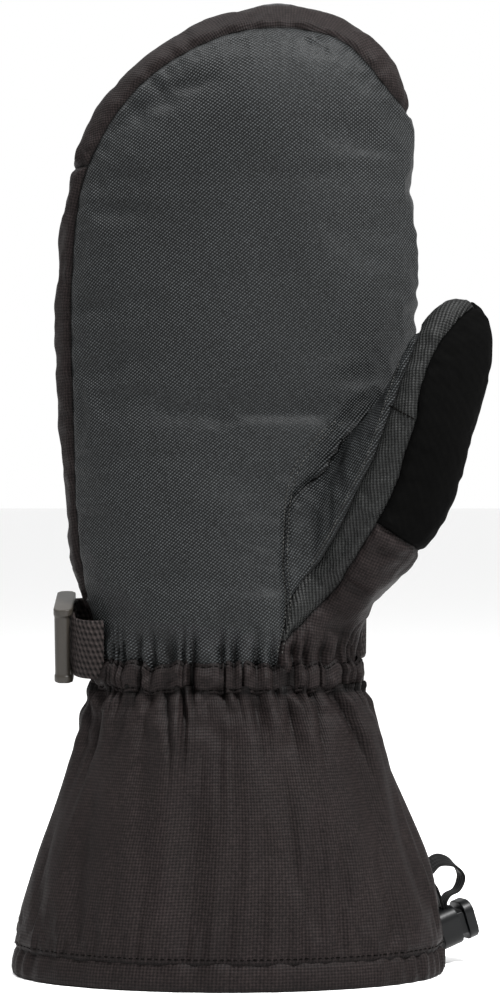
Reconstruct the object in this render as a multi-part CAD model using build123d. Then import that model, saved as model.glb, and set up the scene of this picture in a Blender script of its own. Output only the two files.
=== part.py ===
from build123d import *

import math
import os

# A right-hand insulated ski mitten with a gauntlet cuff, standing on its hem with the fingers up.
# Millimetres. +Z runs from the hem to the fingertips, the palm faces -Y and the thumb is on +X.
# The origin is the middle of the mitten's outline, at the level of the hem.
#
# The wall of the hand compartment is four layers: outer cloth, waterproof insert, insulation, lining.
# Each layer is the space between two solids that are drawn in from the outer surface by an inset.

# ---- Layers: (outer inset, inner inset) of each ----
HAND_CLOTH = (0.0, 1.2)
HAND_INSERT = (1.5, 2.0)
HAND_INSULATION = (2.3, 7.3)
HAND_LINING = (7.6, 8.9)
THUMB_INSULATION = (2.3, 5.3)
THUMB_LINING = (5.6, 6.6)
GAUNTLET_CLOTH = (0.0, 1.2)
GAUNTLET_LINING = (1.5, 2.5)

# ---- Hand compartment: (height, left, right, middle in Y, half depth) of level ovals ----
HAND = [
    (116.3, -57.0, 39.6, 2.0, 30.8),
    (136.0, -62.0, 46.5, 3.5, 31.7),
    (151.0, -67.0, 52.0, 5.5, 32.0),
    (181.0, -70.0, 58.0, 8.0, 32.0),
    (210.0, -72.5, 61.0, 9.0, 31.0),
    (240.0, -74.0, 63.0, 9.0, 30.5),
    (270.0, -72.5, 63.3, 8.0, 30.0),
    (292.0, -68.5, 61.8, 6.0, 29.0),
]
HAND_START = (124.0, -58.2, 41.5, 2.5, 30.4)  # where the inner layers have nearly widened from the wrist
DOME_HEIGHT = 66.0
# The rounded finger end: (share of its height, middle in X, middle in Y)
DOME = [
    (0.24, -1.1, 4.5),
    (0.45, 1.6, 2.5),
    (0.66, 5.8, 0.5),
    (0.79, 8.5, -0.5),
    (0.895, 9.7, -1.2),
    (0.96, 10.2, -1.6),
    (0.99, 10.4, -1.8),
]
DOME_DEPTH_POWER = 2.4
KNUCKLE_SEAM_Z = 298.0
SIDE_SEAM_Y = 5.0  # the seam between the palm side and the back, along both edges

# ---- Palm panel: its seam with the back of the hand, seen from the front (x, z) ----
PALM_SEAM = [
    (-57.5, 116.0),
    (-64.0, 152.0),
    (-67.3, 211.0),
    (-67.5, 252.0),
    (-61.4, 297.0),
    (-37.0, 331.0),
    (0.0, 347.5),
    (33.0, 344.0),
    (58.0, 320.0),
    (90.0, 300.0),
]

# ---- Thumb: (x, y, z of the middle, half width, half depth), in planes square to THUMB_AXIS ----
THUMB = [
    (28.0, -4.0, 128.0, 12.0, 10.0),
    (33.0, -8.0, 140.0, 15.5, 14.0),
    (40.0, -13.0, 155.0, 19.5, 17.5),
    (49.0, -18.0, 173.0, 22.5, 18.5),
    (57.0, -22.5, 190.0, 21.5, 18.5),
    (64.5, -26.0, 206.0, 18.5, 17.5),
    (70.5, -27.5, 222.0, 17.0, 15.6),
    (74.3, -28.0, 233.0, 14.8, 13.2),
    (77.0, -28.0, 240.5, 11.4, 9.8),
    (78.8, -28.0, 245.5, 7.2, 5.8),
    (79.7, -28.0, 248.2, 3.2, 2.6),
]
THUMB_LEAST_DEPTH = 2.4  # a section thinner than this is left out of an inner layer
THUMB_AXIS = Vector(0.36, -0.24, 0.90).normalized()
THUMB_ACROSS = Vector(THUMB_AXIS.Z, 0, -THUMB_AXIS.X).normalized()
THUMB_PIVOT = Vector(59.0, -23.5, 194.0)  # centre of the ball-shaped cut where the thumb bends
THUMB_CUT_RADIUS = 24.0
THUMB_CUT_GAP = 0.5
THUMB_CUT_START = 7.0  # the cut starts this far along the thumb from the pivot
# Seams along the thumb, by their angle around it: 0 is its outer side, 90 is its palm side
WIPE_SEAM_ANGLE = 92.0
INNER_SEAM_ANGLE = 148.0
BACK_SEAM_ANGLE = 250.0
WIPE_SEAM_Z = 160.0

# ---- Wrist band: a casing with elastic in it ----
BAND_LOW, BAND_HIGH = 105.3, 116.0
BAND = (-56.8, 39.6, 2.0, 30.5)
BAND_CLOTH = 0.9
BAND_ELASTIC = (1.2, 2.4)
BAND_DEPTH = 3.6
NECK_INSET = 1.7  # how much more the inner layers draw in where they pass the wrist band
INSERT_LOW = 136.0
INSULATION_LOW = 103.0
LINING_LOW = 98.0

# ---- Gauntlet: (height, left, right, middle in Y, half depth) of level ovals ----
GAUNTLET = [
    (105.0, -57.8, 41.6, 1.9, 30.8),
    (99.0, -59.5, 45.0, 1.5, 32.5),
    (92.0, -61.0, 48.0, 1.2, 34.5),
    (77.0, -66.0, 53.6, 1.0, 38.0),
    (62.0, -71.0, 59.5, 0.6, 41.0),
    (47.0, -76.8, 64.8, 0.4, 43.5),
    (32.0, -81.5, 68.3, 0.2, 45.8),
    (18.0, -85.2, 70.3, 0.0, 47.2),
    (3.0, -87.6, 71.0, 0.0, 48.0),
    (0.0, -87.8, 71.0, 0.0, 48.0),
]
GAUNTLET_SEAM_Y = 3.0
HEM_HEIGHT = 10.0
HEM_CLOTH = 1.0
HEM_DEPTH = 4.4
HEM_TAPE = (1.3, 3.1)  # insets of the draw tape inside the hem
HEM_TAPE_Z = (2.0, 7.6)
GAP = 0.3  # between neighbouring pieces
FAR = 400.0  # further than any part of the mitten, for blocks that only cut

# ---- Wrist strap and buckle, in a plane that rises towards the back of the wrist ----
STRAP_Z = 122.5
STRAP_RISE = 13.0
STRAP_OVAL = (-62.4, 47.6, 3.4, 33.8)
STRAP_WIDTH = 22.0
STRAP_THICK = 1.4
STRAP_ENDS = (25.0, 132.0)  # angles round the oval, from the thumb-side seam to the buckle loop
ROOT_ENDS = (177.0, 208.0)  # the adjusting strap, from under the buckle to the palm seam
RAIL_WIDTH = 2.6
BUCKLE_WIDTH = 28.0
BUCKLE_X = (-72.2, -65.2)  # the outer and the inner side of its rails
BUCKLE_Y = (-8.5, 19.8)
RAIL_CORNER, MIDDLE_CORNER, GRIP_CORNER = 3.0, 0.9, 2.2
PIVOT_BAR = (-67.9, 16.8)
PIVOT_BAR_RADIUS = 1.9
MIDDLE_BAR_X = (-69.4, -67.0)
MIDDLE_BAR_Y = (3.7, 7.3)
GRIP_BAR_X = (-71.9, -66.2)
GRIP_BAR_Y = (-8.0, -2.8)
LOOP_GAP = 0.3
# The adjusting strap's turned-down end: how far past the grip bar it bends, and where it stops
END_BEND, END_REACH, END_INWARDS = 1.5, 5.0, 2.2
# The buckle loop's tail lies on the wrist strap: how far round it reaches, and its distance off the oval
TAIL_ANGLE = 8.0
TAIL_OUTSET = 3.6

# ---- Cord lock at the hem's thumb side ----
LOCK_AT = Vector(69.4, 18.0, 12.5)  # middle of the end that sits on its tab
LOCK_TURN = 25.0  # its axis points this many degrees behind +X
LOCK_TILT = 18.0  # and rises this many degrees
LOCK_HEIGHT, LOCK_DEPTH = 15.0, 12.5
LOCK_CORNER = 4.5
LOCK_BODY = 8.5
LOCK_TRAVEL = 2.5
LOCK_BUTTON = 4.0
STEM_HEIGHT, STEM_DEPTH = 8.6, 9.4
STEM_LENGTH = 4.2
STEM_GAP = 0.25
LOCK_FLOOR = 1.4
TAPE_AT = 5.8  # where the tape crosses the lock, along its axis
TAPE_WIDTH = 5.6
TAPE_THICK = 1.0
SPRING_RADIUS, SPRING_WIRE = 2.6, 0.15
SPRING_TURNS = 2
SPRING_GAP = 0.15
SPRING_WELL = 0.5  # how far from the lock's base the bottom of the spring's round well is
TAB_THICK = 1.2
TAB_Z = (1.0, 8.0)
TAB_REACH = 8.0
TAB_LENGTH = 24.0

# ---- Pull loop: its route in the lock's own upright plane (along the lock's axis, height over the axis) ----
STRAND_OFFSET = 0.65  # each end of the loop lies this far from the middle of the slot
PULL_LOOP = [
    (TAPE_AT - STRAND_OFFSET, 6.0),
    (TAPE_AT - STRAND_OFFSET, 8.5),
    (4.9, 15.2),
    (4.0, 22.1),
    (8.7, 24.9),
    (14.7, 21.8),
    (17.0, 15.6),
    (13.5, 11.5),
    (9.0, 10.9),
    (TAPE_AT + STRAND_OFFSET, 8.5),
    (TAPE_AT + STRAND_OFFSET, 6.0),
]


def oval(height, left, right, middle_y, half_depth, inset=0.0):
    """An elliptical level section, drawn in by inset."""
    centre = Pos((left + right) / 2, middle_y, height)
    return centre * Ellipse((right - left) / 2 - inset, half_depth - inset)


def prism(section, low, high, inset=0.0):
    """An upright solid over one oval (left, right, middle in Y, half depth)."""
    return extrude(oval(low, *section, inset), high - low)


def hand(inset, low=None):
    """The solid inside the hand compartment's wall at that inset. With low, it runs on down the wrist."""
    sections = [oval(*row, inset) for row in HAND]
    if low is not None:
        neck = inset + NECK_INSET
        sections[0] = oval(*HAND_START, inset)
        sections.insert(0, oval(BAND_HIGH + GAP, *BAND, neck))
        sections.insert(0, oval(low, *BAND, neck))
    base, left, right, _, half_depth = HAND[-1]
    for rise, middle_x, middle_y in DOME:
        half_width = ((right - left) / 2 - inset) * math.sqrt(1 - rise**2)
        depth = (half_depth - inset) * math.sqrt(1 - rise**DOME_DEPTH_POWER)
        height = base + rise * (DOME_HEIGHT - inset)
        sections.append(Pos(middle_x, middle_y, height) * Ellipse(half_width, depth))
    return loft(sections)


def thumb(inset):
    """The solid inside the thumb's wall at that inset."""
    sections = []
    for x, y, z, half_width, half_depth in THUMB:
        if half_depth - inset < THUMB_LEAST_DEPTH:
            continue
        plane = Plane(origin=(x, y, z), x_dir=THUMB_ACROSS, z_dir=THUMB_AXIS)
        sections.append(plane * Ellipse(half_width - inset, half_depth - inset))
    return loft(sections)


def thumb_plane(along=0.0):
    """A plane square to the thumb, that far along it from the pivot. Its x runs across the thumb."""
    return Plane(origin=THUMB_PIVOT + THUMB_AXIS * along, x_dir=THUMB_ACROSS, z_dir=THUMB_AXIS)


def beyond_cut(gap):
    """The space on the thumb's side of the ball-shaped cut, moved towards the pivot by gap."""
    upwards = (Align.CENTER, Align.CENTER, Align.MIN)
    block = thumb_plane(THUMB_CUT_START) * Box(FAR, FAR, FAR, align=upwards)
    return block - Pos(THUMB_PIVOT) * Sphere(THUMB_CUT_RADIUS - gap)


def hand_layer(layer, thumb_layer, low=None):
    """One layer of the hand compartment's wall, open where the thumb joins it."""
    outer, inner = layer
    return hand(outer, low) - hand(inner, None if low is None else low - 1) - thumb(thumb_layer[1])


def thumb_layer_solid(layer, hand_outer, low=None):
    """One layer of the thumb's wall, outside the hand compartment."""
    outer, inner = layer
    return thumb(outer) - thumb(inner) - hand(hand_outer, low)


def moving_part(solid):
    """What of the thumb's layer swings with the thumb."""
    return solid & beyond_cut(0.0)


def fixed_part(solid):
    """What of the thumb's layer stays with the hand."""
    return solid - beyond_cut(THUMB_CUT_GAP)


def thumb_sector(start, end):
    """A wedge along the thumb between two angles around it."""
    corners = [(0, 0)]
    for degrees in (start, end):
        angle = math.radians(degrees)
        corners.append((FAR * math.cos(angle), FAR * math.sin(angle)))
    face = make_face(Polyline(*corners, close=True))
    return extrude(thumb_plane(-FAR / 2) * face, FAR)


def palm_region():
    """The space in front of the side seams and inside the palm panel's outline."""
    outline = Spline(*[Vector(x, SIDE_SEAM_Y, z) for x, z in PALM_SEAM])
    first, last = outline @ 0, outline @ 1
    close = Polyline(last, (last.X, SIDE_SEAM_Y, 0.0), (first.X, SIDE_SEAM_Y, 0.0), first)
    return extrude(make_face([outline, close]), FAR, dir=(0, -1, 0))


def front_half(y):
    """The space in front of a plane across the mitten."""
    return Pos(0, y, 0) * Box(FAR, FAR, 2 * FAR, align=(Align.CENTER, Align.MAX, Align.CENTER))


def above(z):
    """The space above a level plane."""
    return Pos(0, 0, z) * Box(FAR, FAR, FAR, align=(Align.CENTER, Align.CENTER, Align.MIN))


def hand_cloth():
    """The outer cloth of the hand compartment: palm, back of the hand and fingertip panels."""
    shell = hand_layer(HAND_CLOTH, HAND_CLOTH)
    palm = shell & palm_region()
    rest = shell - palm_region()
    tip = rest & above(KNUCKLE_SEAM_Z)
    back = rest - above(KNUCKLE_SEAM_Z)
    return {"palm_panel": palm, "fingertip_panel": tip, "back_hand_panel": back}


def thumb_cloth():
    """The outer cloth of the thumb, in panels around it, each cut where the thumb swings."""
    shell = thumb_layer_solid(HAND_CLOTH, HAND_CLOTH[0])
    swinging = moving_part(shell)
    fixed = fixed_part(shell)
    strip = thumb_sector(-INNER_SEAM_ANGLE, -WIPE_SEAM_ANGLE)
    inner = thumb_sector(-BACK_SEAM_ANGLE, -INNER_SEAM_ANGLE)
    outer_fixed = fixed - strip - inner
    return {
        "thumb_wipe_panel": swinging - strip - inner,
        "thumb_palm_strip": swinging & strip,
        "thumb_inner_panel": swinging & inner,
        "thumb_wipe_panel_root": outer_fixed & above(WIPE_SEAM_Z),
        "thumb_base_panel": outer_fixed - above(WIPE_SEAM_Z),
        "thumb_palm_strip_root": fixed & strip,
        "thumb_gusset": fixed & inner,
    }


def inner_layers():
    """The waterproof insert, the insulation and the lining."""
    insert = hand_layer(HAND_INSERT, HAND_INSERT) & above(INSERT_LOW)
    insert_thumb = thumb_layer_solid(HAND_INSERT, HAND_INSERT[0]) & above(INSERT_LOW)
    insulation = hand_layer(HAND_INSULATION, THUMB_INSULATION, INSULATION_LOW)
    insulation_thumb = thumb_layer_solid(THUMB_INSULATION, HAND_INSULATION[0], INSULATION_LOW)
    lining = hand_layer(HAND_LINING, THUMB_LINING, LINING_LOW)
    lining_thumb = thumb_layer_solid(THUMB_LINING, HAND_LINING[0], LINING_LOW)
    front = front_half(SIDE_SEAM_Y)
    return {
        "waterproof_insert": insert + fixed_part(insert_thumb),
        "waterproof_insert_thumb": moving_part(insert_thumb),
        "palm_insulation": insulation & front,
        "back_insulation": insulation - front,
        "thumb_root_insulation": fixed_part(insulation_thumb),
        "thumb_insulation": moving_part(insulation_thumb),
        "hand_lining": lining,
        "thumb_root_lining": fixed_part(lining_thumb),
        "thumb_lining": moving_part(lining_thumb),
    }


def wrist_band():
    """A casing, open along its lower edge, with elastic inside."""
    casing = prism(BAND, BAND_LOW, BAND_HIGH) - prism(BAND, BAND_LOW, BAND_HIGH, BAND_DEPTH)
    channel_top = BAND_HIGH - BAND_CLOTH
    channel = prism(BAND, BAND_LOW, channel_top, BAND_CLOTH)
    channel -= prism(BAND, BAND_LOW, channel_top, BAND_DEPTH - BAND_CLOTH)
    outer, inner = BAND_ELASTIC
    low, high = BAND_LOW + 1, channel_top - GAP
    elastic = prism(BAND, low, high, outer) - prism(BAND, low, high, inner)
    return {"wrist_band": casing - channel, "wrist_elastic": elastic}


def gauntlet_solid(inset):
    """The solid inside the gauntlet's wall at that inset, from its hem to the wrist."""
    return loft([oval(*row, inset) for row in reversed(GAUNTLET)])


def slab(low, high):
    """The space between two levels."""
    return Pos(0, 0, low) * Box(FAR, FAR, high - low, align=(Align.CENTER, Align.CENTER, Align.MIN))


def gauntlet():
    """The gauntlet's cloth and lining above its hem, and the folded hem with its draw tape."""
    wall = slab(HEM_HEIGHT + GAP, GAUNTLET[0][0])
    cloth = (gauntlet_solid(GAUNTLET_CLOTH[0]) - gauntlet_solid(GAUNTLET_CLOTH[1])) & wall
    lining = (gauntlet_solid(GAUNTLET_LINING[0]) - gauntlet_solid(GAUNTLET_LINING[1])) & wall
    front = front_half(GAUNTLET_SEAM_Y)
    outside = gauntlet_solid(0.0)
    channel = (gauntlet_solid(HEM_CLOTH) - gauntlet_solid(HEM_DEPTH - HEM_CLOTH)) & above(HEM_CLOTH)
    hem = ((outside - gauntlet_solid(HEM_DEPTH)) & slab(0, HEM_HEIGHT)) - channel
    tape = (gauntlet_solid(HEM_TAPE[0]) - gauntlet_solid(HEM_TAPE[1])) & slab(*HEM_TAPE_Z)
    return {
        "gauntlet_front_panel": cloth & front,
        "gauntlet_back_panel": cloth - front,
        "gauntlet_lining": lining,
        "hem_channel": hem,
        "hem_draw_tape": tape,
    }


def strap_plane():
    """The plane in which the buckle is drawn: x as in the frame, y towards the back of the wrist."""
    rise = math.radians(STRAP_RISE)
    return Plane(origin=(0, 0, STRAP_Z), x_dir=(1, 0, 0), z_dir=(0, -math.sin(rise), math.cos(rise)))


def across_strap(face, width, offset=0.0):
    """A profile drawn in the strap's plane, made solid over a width that is centred at offset."""
    return strap_plane() * extrude(Pos(0, 0, offset - width / 2) * face, width)


def rectangle(x_range, y_range, corner=0.0):
    """A rectangle between two x and two y values, with rounded corners if corner is given."""
    width, depth = x_range[1] - x_range[0], y_range[1] - y_range[0]
    shape = RectangleRounded(width, depth, corner) if corner else Rectangle(width, depth)
    return Pos((x_range[0] + x_range[1]) / 2, (y_range[0] + y_range[1]) / 2) * shape


def wrist_column(outset):
    """The upright solid that far outside the strap's oval."""
    return prism(STRAP_OVAL, 0, FAR, -outset)


def strap_band(start, end):
    """Webbing that lies round the wrist between two angles of the strap's oval."""
    left, right, middle_y, half_depth = STRAP_OVAL
    ring = wrist_column(STRAP_THICK) - wrist_column(0.0)
    corners = [(0.0, 0.0)]
    for degrees in (start, (start + end) / 2, end):
        angle = math.radians(degrees)
        corners.append((FAR * (right - left) * math.cos(angle), 2 * FAR * half_depth * math.sin(angle)))
    wedge = Pos((left + right) / 2, middle_y, 0) * extrude(make_face(Polyline(*corners, close=True)), FAR)
    tilted = strap_plane() * Box(FAR, FAR, STRAP_WIDTH)
    return ring & wedge & tilted


def oval_point(angle, outset):
    """A point that far outside the strap's oval, at an angle round it."""
    left, right, middle_y, half_depth = STRAP_OVAL
    turn = math.radians(angle)
    x = (left + right) / 2 + ((right - left) / 2 + outset) * math.cos(turn)
    return (x, middle_y + (half_depth + outset) * math.sin(turn))


def buckle():
    """A ladder lock: two rails, the bar it turns on, a middle bar and a grip bar."""
    rail = rectangle(BUCKLE_X, BUCKLE_Y, RAIL_CORNER)
    rail_offset = (BUCKLE_WIDTH - RAIL_WIDTH) / 2
    frame = across_strap(rail, RAIL_WIDTH, rail_offset) + across_strap(rail, RAIL_WIDTH, -rail_offset)
    span = BUCKLE_WIDTH - RAIL_WIDTH
    frame += across_strap(Pos(*PIVOT_BAR) * Circle(PIVOT_BAR_RADIUS), span)
    frame += across_strap(rectangle(MIDDLE_BAR_X, MIDDLE_BAR_Y, MIDDLE_CORNER), span)
    frame += across_strap(rectangle(GRIP_BAR_X, GRIP_BAR_Y, GRIP_CORNER), span)
    return frame


def threaded_strap():
    """The adjusting strap's free end: up behind the middle bar, over it, down and out under the grip bar."""
    over_x = MIDDLE_BAR_X[0] - LOOP_GAP - STRAP_THICK / 2
    under_x = GRIP_BAR_X[1] + LOOP_GAP + STRAP_THICK / 2
    behind_y = MIDDLE_BAR_Y[1] + LOOP_GAP + STRAP_THICK / 2
    before_y = MIDDLE_BAR_Y[0] - LOOP_GAP - STRAP_THICK / 2
    route = [
        (under_x, behind_y),
        (over_x, behind_y),
        (over_x, before_y),
        (under_x, before_y),
        (under_x, GRIP_BAR_Y[0] - END_BEND),
        (under_x + END_INWARDS, GRIP_BAR_Y[0] - END_REACH),
    ]
    return across_strap(trace(Polyline(*route), STRAP_THICK), STRAP_WIDTH)


def buckle_loop():
    """Webbing sewn to the end of the wrist strap and looped round the buckle's pivot bar."""
    inner = PIVOT_BAR_RADIUS + LOOP_GAP
    ring = Pos(*PIVOT_BAR) * (Circle(inner + STRAP_THICK) - Circle(inner))
    start = (PIVOT_BAR[0], PIVOT_BAR[1] + inner + STRAP_THICK / 2)
    end = oval_point(STRAP_ENDS[1] - TAIL_ANGLE, TAIL_OUTSET)
    tail = trace(Polyline(start, end), STRAP_THICK) - Pos(*PIVOT_BAR) * Circle(inner)
    return across_strap(ring + tail, STRAP_WIDTH) - wrist_column(STRAP_THICK + GAP)


def wrist_straps():
    """The strap across the back of the wrist, the buckle on it, and the adjusting strap."""
    return {
        "wrist_strap": strap_band(*STRAP_ENDS),
        "buckle_loop": buckle_loop(),
        "adjusting_strap_root": strap_band(*ROOT_ENDS),
        "wrist_buckle": buckle(),
        "adjusting_strap_end": threaded_strap(),
    }


def lock_plane(along=0.0):
    """A plane square to the cord lock's axis, that far from its base. Its x is depth, its y is height."""
    turn, tilt = math.radians(LOCK_TURN), math.radians(LOCK_TILT)
    axis = Vector(math.cos(tilt) * math.cos(turn), math.cos(tilt) * math.sin(turn), math.sin(tilt))
    across = Vector(-math.sin(turn), math.cos(turn), 0)
    return Plane(origin=LOCK_AT + axis * along, x_dir=across, z_dir=axis)


def lock_block(depth, height, start, end, corner=0.0):
    """A block along the lock's axis."""
    shape = RectangleRounded(depth, height, corner) if corner else Rectangle(depth, height)
    return extrude(lock_plane(start) * shape, end - start)


def cord_lock():
    """A body with a tape slot, a sprung button whose stem crosses the slot, and the spring."""
    body = lock_block(LOCK_DEPTH, LOCK_HEIGHT, 0, LOCK_BODY, LOCK_CORNER)
    body -= lock_block(STEM_DEPTH + 2 * STEM_GAP, STEM_HEIGHT + 2 * STEM_GAP, LOCK_FLOOR, LOCK_BODY + 1)
    well = Circle(SPRING_RADIUS + SPRING_WIRE + STEM_GAP)
    body -= extrude(lock_plane(SPRING_WELL) * well, LOCK_FLOOR + STEM_GAP - SPRING_WELL)
    slot = (TAPE_AT - TAPE_THICK - GAP, TAPE_AT + TAPE_THICK + GAP)
    body -= lock_block(TAPE_WIDTH + 2 * GAP, LOCK_HEIGHT + 2, *slot)
    head_start = LOCK_BODY + LOCK_TRAVEL
    stem_start = LOCK_BODY - STEM_LENGTH
    head_end = head_start + LOCK_BUTTON
    button = lock_block(LOCK_DEPTH, LOCK_HEIGHT, head_start, head_end, LOCK_CORNER)
    button += lock_block(STEM_DEPTH, STEM_HEIGHT, stem_start, head_start)
    button -= lock_block(TAPE_WIDTH + 2 * GAP, STEM_HEIGHT + 2, slot[0], slot[1] + LOCK_TRAVEL)
    return {
        "cord_lock_body": body,
        "cord_lock_button": button,
        "cord_lock_spring": spring(stem_start - LOCK_TRAVEL),
    }


def spring(end):
    """A pressed coil spring on the lock's axis, from the bottom of its well to where the pressed stem ends."""
    start = SPRING_WELL + SPRING_WIRE + SPRING_GAP
    height = end - SPRING_WIRE - SPRING_GAP - start
    path = Helix(pitch=height / SPRING_TURNS, height=height, radius=SPRING_RADIUS)
    section = Plane(origin=path @ 0, z_dir=path % 0) * Circle(SPRING_WIRE)
    return lock_plane(start) * sweep(section, path=path, is_frenet=True)


def lock_tab():
    """A webbing tab sewn to the outside of the hem, with its end turned out under the lock."""
    wall = gauntlet_solid(-GAP - TAB_THICK) - gauntlet_solid(-GAP)
    reach = Pos(LOCK_AT.X - TAB_REACH, LOCK_AT.Y, TAB_Z[0])
    upwards = (Align.CENTER, Align.CENTER, Align.MIN)
    window = reach * Box(TAB_REACH * 2, TAB_LENGTH, TAB_Z[1] - TAB_Z[0], align=upwards)
    return wall & window


def pull_loop():
    """A loop of narrow webbing whose two ends go down into the cord lock's slot, side by side."""
    route = Spline(*[(height, along) for along, height in PULL_LOOP])
    band = extrude(Pos(0, 0, -TAPE_WIDTH / 2) * trace(route, TAPE_THICK), TAPE_WIDTH)
    base = lock_plane()
    return Plane(origin=base.origin, x_dir=base.y_dir, z_dir=base.x_dir) * band


def hem_trim():
    """The tab that holds the cord lock, and the pull loop."""
    return {"lock_tab": lock_tab(), "pull_loop": pull_loop()}


def main():
    os.makedirs("parts", exist_ok=True)
    groups = (
        hand_cloth,
        thumb_cloth,
        inner_layers,
        wrist_band,
        gauntlet,
        wrist_straps,
        cord_lock,
        hem_trim,
    )
    pieces = {}
    for group in groups:
        pieces.update(group())
    for name, shape in pieces.items():
        export_step(shape, f"parts/{name}.step")
    print(len(pieces), "pieces")


main()
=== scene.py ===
"""A ski mitten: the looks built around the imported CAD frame.

Lengths inside this script are millimetres until a mesh is made; MM turns them into metres.
"""

import math

import bmesh
import bpy
import numpy as np
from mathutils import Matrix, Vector
from mathutils.bvhtree import BVHTree
from mathutils.kdtree import KDTree


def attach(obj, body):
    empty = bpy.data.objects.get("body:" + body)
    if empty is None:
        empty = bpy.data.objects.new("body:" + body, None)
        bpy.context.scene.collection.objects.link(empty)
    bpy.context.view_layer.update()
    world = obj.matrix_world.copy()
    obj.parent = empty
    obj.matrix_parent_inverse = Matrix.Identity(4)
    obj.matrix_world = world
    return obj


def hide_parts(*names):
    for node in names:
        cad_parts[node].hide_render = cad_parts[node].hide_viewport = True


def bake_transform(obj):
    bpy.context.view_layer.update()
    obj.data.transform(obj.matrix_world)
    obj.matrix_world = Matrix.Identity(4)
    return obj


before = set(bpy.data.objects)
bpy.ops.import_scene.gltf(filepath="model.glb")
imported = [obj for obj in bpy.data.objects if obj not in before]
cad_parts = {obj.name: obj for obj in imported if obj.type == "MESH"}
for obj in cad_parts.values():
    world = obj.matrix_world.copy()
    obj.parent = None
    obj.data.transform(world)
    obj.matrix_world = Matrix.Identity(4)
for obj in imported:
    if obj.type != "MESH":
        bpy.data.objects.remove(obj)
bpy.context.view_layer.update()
MM = 0.001
FAR = 60000.0

# ---- Sections that the CAD is lofted through: (height, left, right, middle in Y, half depth) ----
HAND = np.array([
    (116.3, -57.0, 39.6, 2.0, 30.8),
    (136.0, -62.0, 46.5, 3.5, 31.7),
    (151.0, -67.0, 52.0, 5.5, 32.0),
    (181.0, -70.0, 58.0, 8.0, 32.0),
    (210.0, -72.5, 61.0, 9.0, 31.0),
    (240.0, -74.0, 63.0, 9.0, 30.5),
    (270.0, -72.5, 63.3, 8.0, 30.0),
    (292.0, -68.5, 61.8, 6.0, 29.0),
])
DOME_HEIGHT = 66.0
DOME_DEPTH_POWER = 2.4
# The finger end: (share of its height, middle in X, middle in Y)
DOME = np.array([
    (0.0, -3.35, 6.0),
    (0.24, -1.1, 4.5),
    (0.45, 1.6, 2.5),
    (0.66, 5.8, 0.5),
    (0.79, 8.5, -0.5),
    (0.895, 9.7, -1.2),
    (0.96, 10.2, -1.6),
    (1.0, 10.4, -1.8),
])
# Thumb: (x, y, z of the middle, half width, half depth)
THUMB = np.array([
    (28.0, -4.0, 128.0, 12.0, 10.0),
    (33.0, -8.0, 140.0, 15.5, 14.0),
    (40.0, -13.0, 155.0, 19.5, 17.5),
    (49.0, -18.0, 173.0, 22.5, 18.5),
    (57.0, -22.5, 190.0, 21.5, 18.5),
    (64.5, -26.0, 206.0, 18.5, 17.5),
    (70.5, -27.5, 222.0, 17.0, 15.6),
    (74.3, -28.0, 233.0, 14.8, 13.2),
    (77.0, -28.0, 240.5, 11.4, 9.8),
    (78.8, -28.0, 245.5, 7.2, 5.8),
    (79.7, -28.0, 248.2, 3.2, 2.6),
])
THUMB_AXIS = np.array((0.36, -0.24, 0.90)) / np.linalg.norm((0.36, -0.24, 0.90))
THUMB_ACROSS = np.array((THUMB_AXIS[2], 0, -THUMB_AXIS[0]))
THUMB_ACROSS /= np.linalg.norm(THUMB_ACROSS)
THUMB_DEPTH = np.cross(THUMB_AXIS, THUMB_ACROSS)
GAUNTLET = np.array([
    (0.0, -87.8, 71.0, 0.0, 48.0),
    (3.0, -87.6, 71.0, 0.0, 48.0),
    (18.0, -85.2, 70.3, 0.0, 47.2),
    (32.0, -81.5, 68.3, 0.2, 45.8),
    (47.0, -76.8, 64.8, 0.4, 43.5),
    (62.0, -71.0, 59.5, 0.6, 41.0),
    (77.0, -66.0, 53.6, 1.0, 38.0),
    (92.0, -61.0, 48.0, 1.2, 34.5),
    (99.0, -59.5, 45.0, 1.5, 32.5),
    (105.0, -57.8, 41.6, 1.9, 30.8),
])
BAND = (-56.8, 39.6, 2.0, 30.5)
BAND_LOW, BAND_HIGH = 105.3, 116.0
HAND_TOP = HAND[-1, 0]  # where the rounded finger end starts
HEM_SEAM_Z = 9.6
WRIST_PLEATS = 42

# ---- Seams, as (x, z) seen from the camera's distance in front ----
EYE_DISTANCE = 1100.0
EYE_HEIGHT = 174.6
SIDE_SEAM_Y = 5.0
PALM_SIDE_Y = 13.0
KNUCKLE_SEAM_Z = 298.0
PALM_SEAM = [
    (-57.5, 80), (-57.5, 116), (-64, 152), (-67.3, 211), (-67.5, 252), (-61.4, 297), (-37, 331), (0, 347.5),
    (33, 344), (58, 320), (90, 300),
]
CROTCH_SEAM = [
    (10.4, 95), (10.4, 113.6), (14.1, 134.7), (13.0, 151), (13.3, 162.8), (14.1, 174.6), (15.9, 182.8),
    (19.6, 190.6), (25.5, 197.6), (32.9, 203.5), (41.4, 209.4), (90, 243),
]
MIDDLE_SEAM = [
    (10.5, 95), (10.7, 121.7), (14.1, 134.7), (24.8, 152.1), (31.8, 163.9), (36.6, 174.6), (43.7, 188.7),
    (48.8, 203.5), (52.9, 215.3), (56.6, 225.7), (59.6, 233), (66, 262),
]
WIPE_SEAM = [
    (9.0, 108), (11.8, 120.3), (21.8, 130.2), (32.9, 143.6), (39.6, 154.7), (47.4, 166.9), (51.8, 174.6),
    (57.7, 193.5), (61.1, 204.6), (62.5, 217.2), (68.8, 232.4), (78.4, 243.5), (96, 255),
]
CROSS_SEAM = [(51.4, 209.7), (61.0, 204.4)]
BASE_SEAM = [(20, 182.8), (46.6, 165.8), (61.8, 156.1), (100, 131.7)]
BACK_SEAM_ANGLE = math.radians(250)
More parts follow.
